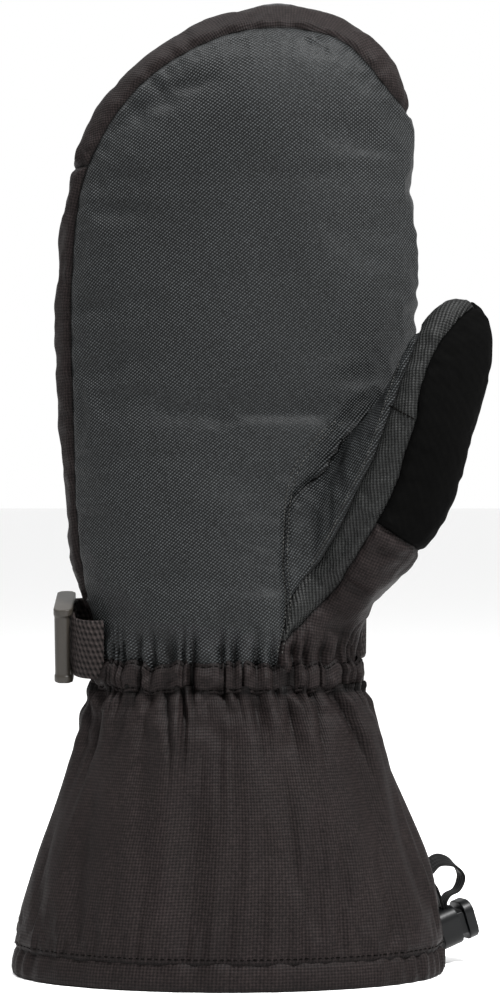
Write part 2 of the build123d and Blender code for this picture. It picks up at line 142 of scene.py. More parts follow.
# Soft folds, as (one end, other end, depth, width)
BASE_FOLDS = [
    ((38, 157), (62, 152), 0.9, 1.8),
    ((31, 146), (54, 131), 1.1, 2.2),
    ((27, 127.5), (41, 124), 0.9, 1.6),
]
INNER_FOLDS = [
    ((22, 180), (27, 195), 1.0, 1.5),
    ((30, 180), (34, 199), 1.1, 2.2),
    ((18, 150), (22, 168), 0.5, 2.0),
]


def through(keys, values, at):
    """A smooth curve through values at keys, read at other places."""
    keys = np.asarray(keys, float)
    values = np.asarray(values, float)
    at = np.clip(np.asarray(at, float), keys[0], keys[-1])
    slopes = np.gradient(values, keys, axis=0)
    i = np.clip(np.searchsorted(keys, at) - 1, 0, len(keys) - 2)
    step = (keys[i + 1] - keys[i])[:, None]
    t = ((at - keys[i])[:, None]) / step
    a, b = values[i], values[i + 1]
    return (a * (2 * t**3 - 3 * t**2 + 1) + b * (3 * t**2 - 2 * t**3)
            + slopes[i] * step * (t**3 - 2 * t**2 + t) + slopes[i + 1] * step * (t**3 - t**2))


def run_of(points):
    """How far along a path each of its points is."""
    return np.concatenate([[0], np.cumsum(np.linalg.norm(np.diff(points, axis=0), axis=1))])


def bell(offset, width):
    """1 where the offset is 0, falling smoothly to nearly 0 at twice the width."""
    return np.exp(-((offset / width) ** 2))


def whole_turn(count, start=-math.pi):
    """Angles evenly spaced round a circle."""
    return np.linspace(start, start + 2 * math.pi, count, endpoint=False)


def level_sections(rows, heights):
    """(middle x, middle y, half width, half depth) at each height of a table of level ovals."""
    found = through(rows[:, 0], rows[:, 1:], heights)
    left, right, middle_y, depth = found.T
    return np.stack([(left + right) / 2, middle_y, (right - left) / 2, depth], 1)


def hand_sections(heights):
    """Level sections of the hand, its rounded finger end included."""
    heights = np.asarray(heights, float)
    made = level_sections(HAND, heights)
    rise = np.clip((heights - HAND_TOP) / DOME_HEIGHT, 0, 0.9999)
    middle = through(DOME[:, 0], DOME[:, 1:], rise)
    dome = heights > HAND_TOP
    made[dome, 0:2] = middle[dome]
    made[dome, 2] *= np.sqrt(1 - rise[dome] ** 2)
    made[dome, 3] *= np.sqrt(1 - rise[dome] ** DOME_DEPTH_POWER)
    return made


def finger_end(low, high, count):
    """Heights up the rounded finger end, evenly spaced round it from low to high degrees."""
    return [HAND_TOP + DOME_HEIGHT * math.sin(math.radians(a)) for a in np.linspace(low, high, count)]


def ring(section, height, turn, outset=0.0):
    """Points of a level oval pushed out square to it by outset. Height and outset may vary round it."""
    mx, my, half, depth = section
    nx, ny = np.cos(turn) / half, np.sin(turn) / depth
    size = np.hypot(nx, ny)
    x = mx + half * np.cos(turn) + outset * nx / size
    y = my + depth * np.sin(turn) + outset * ny / size
    return np.stack([x, y, np.broadcast_to(height, turn.shape)], 1)


def tube(rings, close):
    """Vertices and faces of a surface through rings of points, all with the same count."""
    count = len(rings[0])
    verts = np.concatenate(rings)
    faces = []
    for r in range(len(rings) - 1):
        for c in range(count):
            d = (c + 1) % count
            faces.append((r * count + c, r * count + d, (r + 1) * count + d, (r + 1) * count + c))
    if close:
        faces.append(tuple(range(count))[::-1])
        last = (len(rings) - 1) * count
        faces.append(tuple(range(last, last + count)))
    return verts, faces


def new_object(name, verts, faces, material=None):
    """A mesh object from vertices in millimetres."""
    mesh = bpy.data.meshes.new(name)
    mesh.from_pydata((np.asarray(verts, float) * MM).tolist(), [], faces)
    mesh.update()
    obj = bpy.data.objects.new(name, mesh)
    bpy.context.scene.collection.objects.link(obj)
    if material is not None:
        mesh.materials.append(material)
    mesh.shade_smooth()
    return obj


def vectors(collection, field):
    """A vector field of Blender data as rows of three numbers."""
    found = np.zeros(len(collection) * 3)
    collection.foreach_get(field, found)
    return found.reshape(-1, 3)


def coordinates(mesh):
    """A mesh's vertices in millimetres."""
    return vectors(mesh.vertices, "co") / MM


def set_coordinates(mesh, co):
    mesh.vertices.foreach_set("co", (co * MM).ravel())
    mesh.update()


def keep(mesh, name, kind, values):
    """Stores a number or a vector for each vertex of a mesh, under a name."""
    attribute = mesh.attributes.new(name, kind, "POINT")
    field = "value" if kind == "FLOAT" else "vector"
    attribute.data.foreach_set(field, np.asarray(values, np.float32).ravel())


def applied(obj):
    """Replaces an object's mesh with what its modifiers make of it."""
    graph = bpy.context.evaluated_depsgraph_get()
    graph.update()
    made = bpy.data.meshes.new_from_object(obj.evaluated_get(graph))
    old = obj.data
    obj.modifiers.clear()
    obj.data = made
    bpy.data.meshes.remove(old)
    return obj


def softened(obj, voxel, rounds):
    """Makes an object one even closed mesh of that voxel size, with its edges smoothed."""
    remesh = obj.modifiers.new("remesh", "REMESH")
    remesh.mode = "VOXEL"
    remesh.voxel_size = voxel * MM
    smoothing = obj.modifiers.new("smooth", "SMOOTH")
    smoothing.factor = 0.5
    smoothing.iterations = rounds
    return applied(obj)


def rumple(points, size, seed, waves=28):
    """Smooth noise about -1 to 1 in space, with lumps of about that size."""
    draw = np.random.default_rng(seed)
    total = np.zeros(len(points))
    for _ in range(waves):
        direction = draw.normal(size=3)
        direction /= np.linalg.norm(direction)
        length = size * 2 * draw.uniform(0.7, 1.5)
        total += np.sin(points @ direction * (2 * math.pi / length) + draw.uniform(0, 2 * math.pi))
    return total / math.sqrt(waves)


def wander(angle, low, high, seed):
    """Smooth noise about -1 to 1 round a circle, from waves of low to high turns."""
    draw = np.random.default_rng(seed)
    total = np.zeros_like(angle)
    for turns in range(low, high + 1):
        total += np.sin(turns * angle + draw.uniform(0, 2 * math.pi)) * draw.uniform(0.5, 1.0)
    return total / math.sqrt((high - low + 1) / 2)


def pleats(angle, count, seed, unevenness=0.9):
    """A count of round ridges with sharp valleys between, round the wrist: 0 in a valley, 1 on a ridge."""
    phase = count * angle + unevenness * 2.2 * wander(angle, 3, count // 2, seed)
    return np.abs(np.sin(phase / 2))


# ---------------------------------------------------------------- hand and thumb: one closed body
def hand_body():
    """Closed rings of the hand."""
    turn = whole_turn(160, 0)
    heights = list(np.linspace(98, HAND_TOP, 70)) + finger_end(4, 89, 26)
    rings = [ring(section, height, turn) for height, section in zip(heights, hand_sections(heights))]
    return tube(rings, True)


def thumb_sections(along):
    """(middle as 3 numbers, half width, half depth) at places along the thumb's axis."""
    keys = THUMB[:, :3] @ THUMB_AXIS
    return through(keys, THUMB, along)


def thumb_body():
    """Closed rings of the thumb."""
    turn = whole_turn(90, 0)
    keys = THUMB[:, :3] @ THUMB_AXIS
    rings = []
    for row in thumb_sections(np.linspace(keys[0], keys[-1], 60)):
        across = np.outer(row[3] * np.cos(turn), THUMB_ACROSS)
        rings.append(row[:3] + across + np.outer(row[4] * np.sin(turn), THUMB_DEPTH))
    return tube(rings, True)


def oval_distance(dx, dy, half, depth):
    """Roughly the distance outside an oval, negative inside."""
    size = np.sqrt((dx / half) ** 2 + (dy / depth) ** 2) + 1e-9
    slope = np.sqrt(dx**2 / half**4 + dy**2 / depth**4) + 1e-9
    return (size - 1) * size / slope


def hand_distance(p):
    """Roughly how far points are outside the hand."""
    rows = hand_sections(p[:, 2])
    return oval_distance(p[:, 0] - rows[:, 0], p[:, 1] - rows[:, 1], rows[:, 2] + 1e-3, rows[:, 3] + 1e-3)


def thumb_place(p):
    """(distance outside the thumb, angle round it, along it) of points."""
    along = p @ THUMB_AXIS
    rows = thumb_sections(along)
    off = p - rows[:, :3]
    across, depth = off @ THUMB_ACROSS, off @ THUMB_DEPTH
    angle = np.mod(np.arctan2(-depth, across), 2 * math.pi)
    distance = oval_distance(across, depth, rows[:, 3], rows[:, 4])
    last = THUMB[-1, :3] @ THUMB_AXIS
    return np.maximum(distance, along - last - 3), angle, along


def beside(x, z, start, end):
    """Where places lie beside a straight line: (share of the way along, distance, above 0 on its left)."""
    (ax, az), (bx, bz) = start, end
    ux, uz = bx - ax, bz - az
    t = np.clip(((x - ax) * ux + (z - az) * uz) / (ux * ux + uz * uz), 0, 1)
    return t, np.hypot(x - ax - t * ux, z - az - t * uz), ux * (z - az) - uz * (x - ax)


def side_of(line, x, z):
    """Distance from a smooth line through (x, z) points, positive on the right of its direction of travel."""
    line = np.array(line, float)
    keys = run_of(line)
    points = through(keys, line, np.linspace(0, keys[-1], 240))
    best = np.full(len(x), 1e9)
    sign = np.ones(len(x))
    for start, end in zip(points[:-1], points[1:]):
        _, gap, left = beside(x, z, start, end)
        nearer = gap < best
        best[nearer] = gap[nearer]
        sign[nearer] = np.where(left < 0, 1.0, -1.0)[nearer]
    return best * sign


def seen(p):
    """Where points appear from the front, in the plane of the mitten's middle."""
    scale = EYE_DISTANCE / (EYE_DISTANCE + p[:, 1])
    return p[:, 0] * scale, EYE_HEIGHT + (p[:, 2] - EYE_HEIGHT) * scale


def seam_thumb(p):
    """Positive on the thumb's side of the seam with the hand."""
    x, z = seen(p)
    distance, _, _ = thumb_place(p)
    front = np.minimum(side_of(CROTCH_SEAM, x, z), SIDE_SEAM_Y - p[:, 1])
    reach = 3 + 25 * np.clip((185 - p[:, 2]) / 35, 0, 1)  # how far the thumb's panels spread over the hand
    front = np.minimum(front, reach - distance)
    return np.maximum(hand_distance(p) - distance - 0.5, front)


def seam_palm(p):
    """Positive inside the palm panel."""
    side = SIDE_SEAM_Y + (PALM_SIDE_Y - SIDE_SEAM_Y) * np.clip((p[:, 2] - 210) / 35, 0, 1)
    return np.minimum(side_of(PALM_SEAM, p[:, 0], p[:, 2]), side - p[:, 1])


def seam_wipe(p):
    """Positive on the outer side of the thumb."""
    x, z = seen(p)
    _, angle, _ = thumb_place(p)
    back = (angle - BACK_SEAM_ANGLE) * 17
    return np.where(angle > math.radians(170), back, side_of(WIPE_SEAM, x, z))


def seam_middle(p):
    """Positive on the palm strip's side of the seam along the middle of the thumb."""
    x, z = seen(p)
    _, angle, _ = thumb_place(p)
    return np.where(angle > math.radians(200), -20, side_of(MIDDLE_SEAM, x, z))


def seam_base(p):
    """Positive below the wipe panel's lower seam, and where the cloth has left the thumb for the hand."""
    x, z = seen(p)
    distance, _, _ = thumb_place(p)
    return np.maximum(side_of(BASE_SEAM, x, z), distance - 2.5)


def seam_knuckle(p):
    """Positive above the cross seam at the knuckles."""
    return p[:, 2] - KNUCKLE_SEAM_Z


PANELS = ("palm", "back", "tip", "wipe", "base", "strip", "inner")


def panel_of(p):
    """Which panel each point belongs to, as its place in PANELS."""
    on_thumb = seam_thumb(p) > 0
    outer = seam_wipe(p) > 0
    hand_side = np.where(seam_palm(p) > 0, 0, np.where(seam_knuckle(p) > 0, 2, 1))
    thumb_side = np.where(outer, np.where(seam_base(p) > 0, 4, 3), np.where(seam_middle(p) > 0, 5, 6))
    return np.where(on_thumb, thumb_side, hand_side)


def face_centres(bm, layer):
    """The middle of each face, where the faces were before they were swelled."""
    return np.array([sum((Vector(v[layer]) for v in f.verts), Vector()) / len(f.verts) for f in bm.faces])


def cut_along(bm, layer, seam, region):
    """Splits the faces of a region of panels where the seam's function changes sign."""
    bm.verts.ensure_lookup_table()
    bm.faces.ensure_lookup_table()
    value = seam(np.array([v[layer][:] for v in bm.verts]))
    value[np.abs(value) < 0.35] = 0.0
    inside = region(face_centres(bm, layer))
    crossing = []
    for e in bm.edges:
        a, b = value[e.verts[0].index], value[e.verts[1].index]
        if a * b < 0 and any(inside[f.index] for f in e.link_faces):
            crossing.append((e, a, b))
    on_seam = {v for v in bm.verts if value[v.index] == 0.0}
    for e, a, b in crossing:
        _, made = bmesh.utils.edge_split(e, e.verts[0], a / (a - b))
        on_seam.add(made)
    for f in list(bm.faces):
        marked = [v for v in f.verts if v in on_seam]
        if len(marked) == 2 and not any(set(e.verts) == set(marked) for e in f.edges):
            bmesh.utils.face_split(f, marked[0], marked[1])
    bm.verts.index_update()
    bm.faces.index_update()


def hand_and_thumb():
    """The closed body of the hand and thumb as one smooth mesh."""
    parts = []
    for name, (verts, faces) in (("hand_body", hand_body()), ("thumb_body", thumb_body())):
        parts.append(new_object(name, verts, faces))
    body = parts[0]
    union = body.modifiers.new("union", "BOOLEAN")
    union.operation = "UNION"
    union.object = parts[1]
    softened(body, 3.2, 3)
    bpy.data.objects.remove(parts[1])
    return body


def simulate(obj, pins, pressure, spare, most, frames=20):
    """Lets a mesh move as cloth, and gives where each vertex was and its movement.

    pins is each vertex's hold from 0 to 1, spare the share of extra cloth, and most the furthest that one may move.
    """
    before = coordinates(obj.data)
    held = obj.vertex_groups.new(name="held")
    for i, weight in enumerate(pins):
        if weight > 0.01:
            held.add([i], float(weight), "REPLACE")
    cloth = obj.modifiers.new("cloth", "CLOTH")
    settings = cloth.settings
    settings.quality = 6
    settings.mass = 0.15
    settings.tension_stiffness = 12
    settings.compression_stiffness = 12
    settings.shear_stiffness = 4
    settings.bending_stiffness = 0.15
    settings.air_damping = 2
    settings.vertex_group_mass = "held"
    settings.use_pressure = True
    settings.uniform_pressure_force = pressure
    settings.shrink_min = -spare
    settings.effector_weights.gravity = 0
    cloth.collision_settings.use_collision = False
    cloth.collision_settings.use_self_collision = False
    cloth.point_cache.frame_start = 1
    cloth.point_cache.frame_end = frames
    scene = bpy.context.scene
    for number in range(1, frames + 1):
        scene.frame_set(number)
    applied(obj)
    scene.frame_set(1)
    obj.vertex_groups.clear()
    moved = coordinates(obj.data) - before
    size = np.linalg.norm(moved, axis=1)[:, None]
    return before, moved * most / (most + size)


def filled(body):
    """Swells the hand and thumb between their seams, as wadding does, and keeps where each point was."""
    rest = coordinates(body.data)
    on_thumb = seam_thumb(rest)
    seams = [np.abs(on_thumb)]
    hand_side = on_thumb < 0
    seams.append(np.where(hand_side, np.abs(seam_palm(rest)), 99))
    seams.append(np.where(hand_side & (seam_palm(rest) < 0), np.abs(seam_knuckle(rest)), 99))
    wipe = seam_wipe(rest)
    seams.append(np.where(hand_side, 99, np.abs(wipe)))
    seams.append(np.where(~hand_side & (wipe > 0), np.abs(seam_base(rest)), 99))
    seams.append(np.where(~hand_side & (wipe < 0), np.abs(seam_middle(rest)), 99))
    near = np.min(seams, axis=0)
    pins = np.clip(1.3 - near / 3.2, 0, 1)
    pins = np.maximum(pins, np.clip((130 - rest[:, 2]) / 12, 0, 1))
    keep(body.data, "rest", "FLOAT_VECTOR", rest)
    before, moved = simulate(body, pins, pressure=3.0, spare=0.035, most=4.0)
    set_coordinates(body.data, before + moved - vectors(body.data.vertices, "normal") * 0.9)
    return body


def split_panels(body):
    """{panel name: mesh object}, cut along the seams."""
    bm = bmesh.new()
    bm.from_mesh(body.data)
    layer = bm.verts.layers.float_vector["rest"]
    everywhere = lambda c: np.ones(len(c), bool)
    cut_along(bm, layer, lambda p: p[:, 2] - BAND_HIGH + 6, everywhere)
    cut_along(bm, layer, seam_thumb, everywhere)
    cut_along(bm, layer, seam_palm, lambda c: seam_thumb(c) < 0)
    cut_along(bm, layer, seam_knuckle, lambda c: (seam_thumb(c) < 0) & (seam_palm(c) < 0))
    cut_along(bm, layer, seam_wipe, lambda c: seam_thumb(c) > 0)
    cut_along(bm, layer, seam_base, lambda c: (seam_thumb(c) > 0) & (seam_wipe(c) > 0))
    cut_along(bm, layer, seam_middle, lambda c: (seam_thumb(c) > 0) & (seam_wipe(c) < 0))
    bm.faces.ensure_lookup_table()
    bm.normal_update()
    centres = face_centres(bm, layer)
    label = panel_of(centres)
    label[centres[:, 2] < BAND_HIGH - 6] = -1
    made = {}
    for number, name in enumerate(PANELS):
        index = {}
        faces = []
        for f in bm.faces:
            if label[f.index] == number:
                faces.append([index.setdefault(v, len(index)) for v in f.verts])
        obj = new_object(f"cloth_{name}", [tuple(v.co / MM) for v in index], faces)
        keep(obj.data, "rest", "FLOAT_VECTOR", [v[layer][:] for v in index])
        keep(obj.data, "out", "FLOAT_VECTOR", [v.normal[:] for v in index])
        made[name] = obj
    bm.free()
    bpy.data.objects.remove(body)
    return made


def unwrapped(obj, across, up):
    """Gives obj a UV map in millimetres, laid flat with its up direction along v."""
    for o in bpy.context.selected_objects:
        o.select_set(False)
    bpy.context.view_layer.objects.active = obj
    obj.select_set(True)
    bpy.ops.object.mode_set(mode="EDIT")
    bpy.ops.mesh.select_all(action="SELECT")
    bpy.ops.uv.unwrap(method="ANGLE_BASED", margin=0.0)
    bpy.ops.object.mode_set(mode="OBJECT")
    obj.select_set(False)
    mesh = obj.data
    loops = np.zeros(len(mesh.loops), int)
    mesh.loops.foreach_get("vertex_index", loops)
    uv = np.zeros(len(mesh.loops) * 2)
    layer = mesh.uv_layers.active
    layer.data.foreach_get("uv", uv)
    uv = uv.reshape(-1, 2)
    uv -= uv.mean(0)
    place = coordinates(mesh)[loops]
    target = np.stack([place @ np.array(across), place @ np.array(up)], 1)
    target -= target.mean(0)
    u, sizes, v = np.linalg.svd(uv.T @ target)
    turned = uv @ u @ v
    face_area = sum(p.area for p in mesh.polygons) / MM**2
    uv_area = 0.0
    for p in mesh.polygons:
        ring = turned[p.loop_start:p.loop_start + p.loop_total]
        nxt = np.roll(ring, -1, 0)
        uv_area += abs(np.sum(ring[:, 0] * nxt[:, 1] - nxt[:, 0] * ring[:, 1])) / 2
    turned *= math.sqrt(face_area / max(uv_area, 1e-12))
    layer.data.foreach_set("uv", turned.ravel())
    layer.name = "cloth"


def border_loops(mesh):
    """Ordered lists of vertex indices round each open border."""
    use = {}
    for p in mesh.polygons:
        ring = list(p.vertices)
        for a, b in zip(ring, ring[1:] + ring[:1]):
            use.setdefault((min(a, b), max(a, b)), []).append((a, b))
    following = {}
    for pairs in use.values():
        if len(pairs) == 1:
            a, b = pairs[0]
            following.setdefault(a, []).append(b)
    loops = []
    while following:
        start = next(iter(following))
        loop = [start]
        while loop[-1] in following:
            nexts = following[loop[-1]]
            b = nexts.pop()
            if not nexts:
                del following[loop[-1]]
            if b == start:
                break
            loop.append(b)
        loops.append(loop)
    return loops


def border_distance(co, loops):
    """For each vertex: distance to the nearest border, and how far along the borders that is."""
    points, along = [], []
    travelled = 0.0
    for loop in loops:
        for a, b in zip(loop, loop[1:] + loop[:1]):
            points.append(co[a])
            along.append(travelled)
            travelled += np.linalg.norm(co[b] - co[a])
        travelled += 100.0
    tree = KDTree(len(points))
    for i, p in enumerate(points):
        tree.insert(p, i)
    tree.balance()
    distance = np.zeros(len(co))
    place = np.zeros(len(co))
    for i, p in enumerate(co):
        _, j, d = tree.find(p)
        distance[i] = d
        place[i] = along[j]
    return distance, place


def line_noise(place, size, seed, waves=14):
    """Smooth noise about -1 to 1 along a line, with waves of about that length."""
    draw = np.random.default_rng(seed)
    total = np.zeros_like(place)
    for _ in range(waves):
        length = size * draw.uniform(0.65, 1.6)
        total += np.sin(place * (2 * math.pi / length) + draw.uniform(0, 2 * math.pi))
    return total / math.sqrt(waves / 2)


def wrist_angle(p):
    """The angle of points round the wrist."""
    left, right, middle_y, depth = BAND
    half = (right - left) / 2
    return np.arctan2((p[:, 1] - middle_y) / depth, (p[:, 0] - (left + right) / 2) / half)


def sewn(obj, name, material, pucker, folds=()):
    """Finishes a panel: finer mesh, gathers at the wrist, seam grooves with puckers, painted shade in the seams,
    pleat valleys and folds, a turned-in border.
    """
    unwrapped(obj, (1, 0, 0), (0, 0, 1))
    finer = obj.modifiers.new("finer", "SUBSURF")
    finer.levels = finer.render_levels = 2
    applied(obj)
    mesh = obj.data
    obj.name = mesh.name = name
    co = coordinates(mesh)
    out = vectors(mesh.attributes["out"].data, "vector")
    out /= np.linalg.norm(out, axis=1)[:, None]
    rest = vectors(mesh.attributes["rest"].data, "vector")
    height = rest[:, 2]
    distance, place = border_distance(co, border_loops(mesh))
    # Seam grooves, their puckers, and soft lumps further in
    push = -1.4 * bell(distance, 1.6)
    push += pucker * line_noise(place, 9.0, 5) * np.exp(-distance / 7.0) * (1 - bell(distance, 1.2))
    push += 0.5 * rumple(rest, 22.0, 11) * (1 - np.exp(-distance / 8.0))
    # Gathers at the wrist
    strength = np.clip((131 - height) / 12, 0, 1) ** 1.6
    tucks = pleats(wrist_angle(rest), WRIST_PLEATS, 3)
    push += strength * (3.8 * tucks - 2.3)
    push += np.clip((138 - height) / 24, 0, 1) * 0.6 * rumple(rest, 4.5, 33)
    dents = folded(rest, folds)
    push -= dents
    set_coordinates(mesh, co + out * push[:, None])
    # Painted shade: darker colour along the seam borders, in the wrist pleats' valleys and in the soft folds.
    painted_crease_shade(mesh, bell(distance, 0.5) + 0.8 * strength * bell(tucks, 0.3) + 0.3 * np.clip(dents, 0, 1))
    turn_in(mesh, out, 2.4)
    mesh.materials.clear()
    mesh.materials.append(material)
    mesh.shade_smooth()
    return obj


def painted_crease_shade(mesh, amount):
    """Keeps how deep in a seam or a fold each vertex lies, 0 to 1, for the cloth's material to darken its colour
    there as painted shade.
    """
    keep(mesh, "crease", "FLOAT", np.clip(amount, 0, 1))


def folded(p, folds):
    """Depth of soft folds at points: each fold is (x, z) ends as seen from the front, depth and width."""
    x, z = seen(p)
    depth = np.zeros(len(p))
    for start, end, deep, wide in folds:
        t, gap, _ = beside(x, z, start, end)
        taper = np.sin(math.pi * (0.12 + 0.76 * t))
        depth += deep * taper * bell(gap, wide) * (p[:, 1] < 0)
    return depth


def turn_in(mesh, out, depth):
    """Turns a panel's border inwards, against the directions out, as a seam allowance."""
    bm = bmesh.new()
    bm.from_mesh(mesh)
    bm.verts.ensure_lookup_table()
    count = len(bm.verts)
    made = bmesh.ops.extrude_edge_only(bm, edges=[e for e in bm.edges if e.is_boundary])
    bm.verts.index_update()
    for v in made["geom"]:
        if isinstance(v, bmesh.types.BMVert):
            old = min((e.other_vert(v) for e in v.link_edges), key=lambda w: (w.co - v.co).length)
            v.co -= Vector(out[min(old.index, count - 1)]) * depth * MM
    bm.to_mesh(mesh)
    bm.free()
    mesh.update()


# ---------------------------------------------------------------- materials
def node(tree, kind, inputs=(), **settings):
    """A new node. Its inputs are sockets to link or plain values."""
    made = tree.nodes.new(kind)
    for key, value in settings.items():
        setattr(made, key, value)
    for key, value in dict(inputs).items():
        if hasattr(value, "is_output"):
            tree.links.new(value, made.inputs[key])
        else:
            made.inputs[key].default_value = value
    return made


def maths(operation, *values, clamp=False):
    """A sum on a material's numbers, in the node tree that its sockets belong to."""
    tree = next(value.id_data for value in values if hasattr(value, "is_output"))
    made = node(tree, "ShaderNodeMath", dict(enumerate(values)), operation=operation, use_clamp=clamp)
    return made.outputs[0]


def blended(a, part_a, b, part_b):
    """Two numbers, each times its own part, added."""
    return maths("ADD", maths("MULTIPLY", a, part_a), maths("MULTIPLY", b, part_b))


def scaled(a, times, plus):
    return maths("ADD", maths("MULTIPLY", a, times), plus)


def wave(u, v, turns_u, turns_v):
    """A sine from -1 to 1 over the cloth, with that many turns per millimetre along u and v."""
    return maths("SINE", blended(u, turns_u * 2 * math.pi, v, turns_v * 2 * math.pi))


def new_material(name):
    """A new material: (material, its node tree, its shader, the object's own coordinates)."""
    material = bpy.data.materials.new(name)
    material.use_nodes = True
    tree = material.node_tree
    return material, tree, tree.nodes["Principled BSDF"], node(tree, "ShaderNodeTexCoord").outputs["Object"]


def noise(tree, where, scale, detail, roughness=0.5):
    inputs = {"Vector": where, "Scale": scale, "Detail": detail, "Roughness": roughness}
    return node(tree, "ShaderNodeTexNoise", inputs).outputs[0]


def mix(tree, share, first, second, blend_type="MIX"):
    """A mix of two colours."""
    inputs = {0: share, 6: first, 7: second}
    return node(tree, "ShaderNodeMix", inputs, data_type="RGBA", blend_type=blend_type).outputs[2]


def fabric(name, dark, light, weave, roughness, sheen, bump, shine, mottle=0.3):
    """A cloth material. weave(u, v) gives the thread height from 0 to 1; the colour runs from dark between threads
    to light on their tops, partly the weave's pattern and partly painted shade and highlight, and is darker in
    seams and folds as painted shade.
    """
    material, tree, shader, where = new_material(name)
    uv = node(tree, "ShaderNodeUVMap", uv_map="cloth")
    split = node(tree, "ShaderNodeSeparateXYZ", {0: uv.outputs[0]})
    height = weave(split.outputs[0], split.outputs[1])
    patches = noise(tree, where, 38.0, 5.0, 0.6)
    specks = noise(tree, where, 900.0, 2.0)
    # Thread colour from dark between the threads to light on their tops, broken by specks: partly the weave's
    # pattern, partly painted shade between threads and painted highlight on their tops.
    threads = mix(tree, maths("MULTIPLY", height, maths("MULTIPLY", specks, 1.9)), (*dark, 1), (*light, 1))
    # Painted shade: the crease attribute darkens the colour in seams, pleat valleys and folds; the patches are the
    # cloth's own uneven tone.
    crease = node(tree, "ShaderNodeAttribute", attribute_name="crease").outputs["Fac"]
    shade = maths("MULTIPLY", scaled(patches, 2 * mottle, 1.0 - mottle), scaled(crease, -0.9, 1.0))
    grey = node(tree, "ShaderNodeCombineColor", {0: shade, 1: shade, 2: shade})
    tree.links.new(mix(tree, 1.0, threads, grey.outputs[0], "MULTIPLY"), shader.inputs["Base Color"])
    tree.links.new(scaled(patches, 0.12, roughness - 0.06), shader.inputs["Roughness"])
    shader.inputs["Sheen Weight"].default_value = sheen
    shader.inputs["Sheen Roughness"].default_value = 0.45
    shader.inputs["Specular IOR Level"].default_value = shine
    lumps = blended(height, 0.7, specks, 0.3)
    relief = node(tree, "ShaderNodeBump", {"Height": lumps, "Strength": bump, "Distance": 0.0004})
    tree.links.new(relief.outputs[0], shader.inputs["Normal"])
    return material


def twill(u, v):
    """Diagonal ribs of short floats."""
    both = blended(wave(u, v, 0.72, -0.72), 0.3, wave(u, v, 0.5, 0.9), 0.2)
    return maths("POWER", maths("ADD", both, 0.5, clamp=True), 3.2)


def ribbed(u, v):
    """Fine straight ribs."""
    both = blended(wave(u, v, 0.78, 0.0), 0.34, wave(u, v, 0.0, 1.0), 0.14)
    return maths("ADD", both, 0.5, clamp=True)


def plain_weave(u, v):
    """A fine grid of threads."""
    both = maths("ADD", wave(u, v, 0.95, 0.0), wave(u, v, 0.0, 0.88))
    return scaled(both, 0.2, 0.5)


def webbing_weave(u, v):
    """Coarse threads in chevrons."""
    both = blended(wave(u, v, 0.45, 0.0), 0.22, wave(u, v, 0.22, 0.62), 0.3)
    return maths("ADD", both, 0.5, clamp=True)


def nap(u, v):
    """Suede-like nap: no threads, only fine grain."""
    return scaled(wave(u, v, 0.31, 0.17), 0.1, 0.4)


def moulded(name, colour, roughness, shine=0.25):
    """A moulded plastic or a metal, with fine grain and patches of wear."""
    material, tree, shader, where = new_material(name)
    grain = noise(tree, where, 900.0, 3.0)
    wear = noise(tree, where, 90.0, 6.0)
    worn = mix(tree, wear, (*[c * 0.75 for c in colour], 1), (*[c * 1.3 for c in colour], 1))
    tree.links.new(worn, shader.inputs["Base Color"])
    tree.links.new(scaled(wear, 0.15, roughness), shader.inputs["Roughness"])
    shader.inputs["Specular IOR Level"].default_value = shine
    relief = node(tree, "ShaderNodeBump", {"Height": grain, "Strength": 0.3, "Distance": 0.0001})
    tree.links.new(relief.outputs[0], shader.inputs["Normal"])
    return material


# Key, material name, dark colour between threads and light colour on thread tops in thousandths (their contrast
# partly painted shade and highlight), weave, roughness, sheen, bump, shine, mottle
CLOTHS = [
    ("palm", "coated_twill", (0.5, 0.6, 0.6), (44, 48, 50), twill, 0.5, 0.0, 1.0, 0.12, 0.3),
    ("strip", "ribbed_twill", (0.6, 0.6, 0.6), (16.5, 17.2, 16.8), ribbed, 0.5, 0.0, 1.0, 0.08, 0.3),
    ("nylon", "nylon", (1.6, 1.2, 1.2), (13.5, 10.1, 9.8), plain_weave, 0.6, 0.0, 0.6, 0.06, 0.45),
    ("suede", "microfibre", (0.8, 0.8, 0.8), (1.8, 1.8, 1.7), nap, 0.95, 0.0, 0.25, 0.02, 0.3),
    ("webbing", "webbing", (0.6, 0.5, 0.5), (26, 21, 20), webbing_weave, 0.7, 0.0, 1.0, 0.06, 0.3),
    ("tape", "tape", (1, 1, 1), (7, 7, 7), ribbed, 0.6, 0.0, 0.8, 0.08, 0.3),
    ("lining", "lining_cloth", (10, 10, 11), (20, 20, 22), plain_weave, 0.6, 0.05, 0.2, 0.1, 0.3),
    ("fleece", "fleece", (12, 12, 13), (30, 30, 32), nap, 0.95, 0.3, 0.9, 0.05, 0.3),
    ("thread", "thread", (10, 10, 9.5), (45, 45, 42), ribbed, 0.6, 0.01, 0.4, 0.1, 0.3),
    ("dark_thread", "dark_thread", (0.8, 0.7, 0.6), (3, 2.6, 2.4), ribbed, 0.8, 0.0, 0.4, 0.02, 0.3),
]
M = {}
for name, title, dark, light, *finish in CLOTHS:
    M[name] = fabric(title, [c / 1000 for c in dark], [c / 1000 for c in light], *finish)
M["buckle"] = moulded("buckle_plastic", (0.018, 0.0155, 0.0125), 0.3, 0.2)
M["lock"] = moulded("lock_plastic", (0.0012, 0.0014, 0.0016), 0.3, 0.16)
M["steel"] = moulded("spring_steel", (0.5, 0.5, 0.5), 0.25)
M["steel"].node_tree.nodes["Principled BSDF"].inputs["Metallic"].default_value = 1.0


